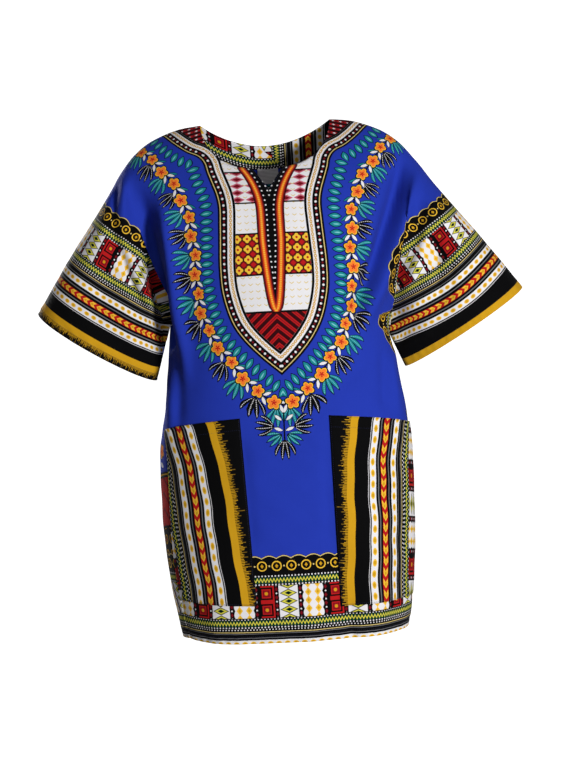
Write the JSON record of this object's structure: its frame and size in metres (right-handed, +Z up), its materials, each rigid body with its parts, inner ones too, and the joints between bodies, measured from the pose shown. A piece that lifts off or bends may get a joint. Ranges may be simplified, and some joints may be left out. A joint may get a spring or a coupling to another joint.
{
  "type": "dashiki dress",
  "caption": "Loose thigh-length pull-on cotton dress with short kimono sleeves, a notched round neck and patch pockets, in its hollow worn form.",
  "frame": {"origin": "middle between the two points where the neckline meets the shoulders, where the wearer's shoulders hold the dress", "axes": "+Z up, from hem to shoulders; the front faces -Y; +X is the wearer's left"},
  "size_m": [0.793, 0.265, 0.8344],
  "materials": {
    "printed_cotton": "plain-weave cotton, royal blue with a wax-print style pattern, soft calendered sheen",
    "border_print": "plain-weave cotton, black with red, yellow, green and white border stripes",
    "label_tape": "blank woven label tape, fine satin weave"
  },
  "bodies": {
    "root": {"front": "printed_cotton", "back": "printed_cotton", "pocket_right": "border_print", "pocket_left": "border_print", "neck_facing": "border_print", "neck_label": "label_tape"}
  },
  "joints": []
}
